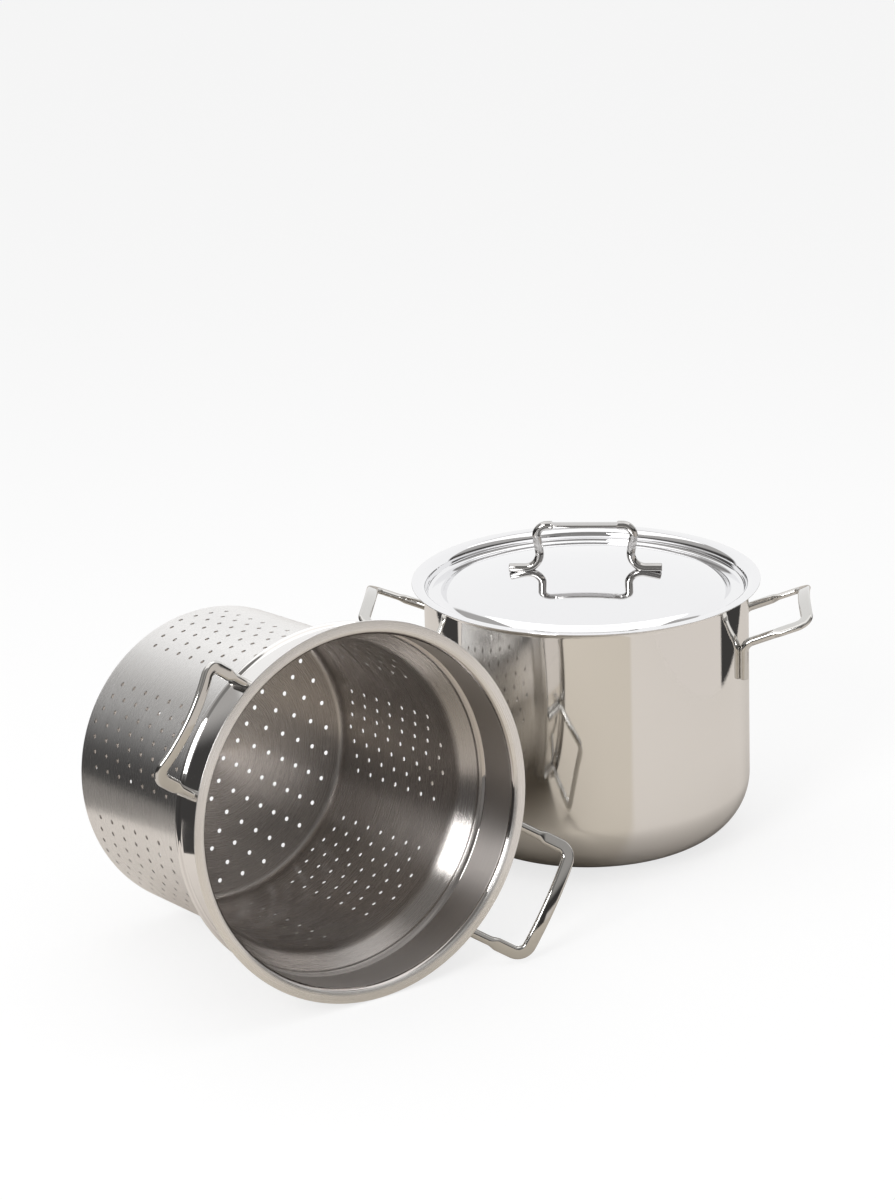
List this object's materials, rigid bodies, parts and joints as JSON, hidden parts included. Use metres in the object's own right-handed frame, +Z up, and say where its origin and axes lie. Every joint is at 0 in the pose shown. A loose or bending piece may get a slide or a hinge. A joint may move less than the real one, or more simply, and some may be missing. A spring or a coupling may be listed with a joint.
{
  "type": "pasta pot with strainer insert",
  "caption": "Steel pasta pot with a recessed domed lid, bent-rod handles and a perforated strainer insert that lies on its side in front of the pot.",
  "frame": {"origin": "middle of the pot's flat bottom, on the surface that it stands on", "axes": "+Z up along the pot's axis, +X along the line through the pot's two handles, +Y away from the viewer; the insert lies at -X -Y"},
  "size_m": [0.5169, 0.5277, 0.2586],
  "materials": {
    "pot_mirror": "polished stainless steel",
    "pot_rod": "polished stainless steel rod",
    "lid_mirror": "polished stainless steel",
    "lid_rod": "polished stainless steel rod",
    "insert_satin": "turned satin stainless steel",
    "insert_rod": "polished stainless steel rod"
  },
  "bodies": {
    "pot": {"pot_body": "pot_mirror", "pot_handle_left": "pot_rod", "pot_handle_right": "pot_rod"},
    "lid": {"lid_pan": "lid_mirror", "lid_handle": "lid_rod"},
    "insert": {"insert_basket": "insert_satin", "insert_handle_left": "insert_rod", "insert_handle_right": "insert_rod"}
  },
  "joints": [
    {"name": "lid_lift", "type": "slide", "parent": "pot", "child": "lid", "axis": [0, 0, 1], "range_m": [0, 0.15]},
    {"name": "insert_lift", "type": "slide", "parent": "pot", "child": "insert", "axis": [0, 0, 1], "range_m": [0, 0.15]}
  ]
}
